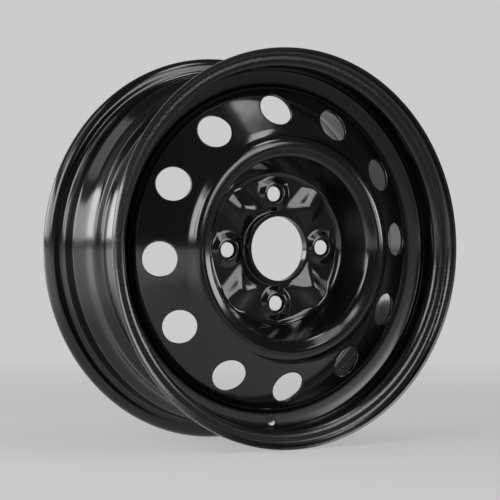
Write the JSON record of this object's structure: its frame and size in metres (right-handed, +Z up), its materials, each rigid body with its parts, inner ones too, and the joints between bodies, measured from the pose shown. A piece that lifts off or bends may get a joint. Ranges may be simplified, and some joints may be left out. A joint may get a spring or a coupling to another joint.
{
  "type": "steel wheel",
  "caption": "Pressed steel car wheel: rolled drop-centre rim with safety humps, and a ribbed centre disc with round vent holes, coned nut seats and a collared hub bore.",
  "frame": {"origin": "centre of the rim: on the axle, midway between the two flanges", "axes": "+Y along the axle towards the car, so the outer face looks along -Y; +Z up as the wheel stands on its tyre; +X to the right seen from outside"},
  "size_m": [0.4148, 0.1658, 0.4146],
  "materials": {
    "rim_paint": "gloss black coat, lightly textured where it runs thin on the flange",
    "disc_paint": "smooth gloss black coat",
    "weld_paint": "black coat over rippled weld metal"
  },
  "bodies": {
    "root": {"rim": "rim_paint", "disc": "disc_paint", "weld_bead_1": "weld_paint", "weld_bead_2": "weld_paint", "weld_bead_3": "weld_paint", "weld_bead_4": "weld_paint", "weld_bead_5": "weld_paint", "weld_bead_6": "weld_paint", "weld_bead_7": "weld_paint", "weld_bead_8": "weld_paint"}
  },
  "joints": []
}
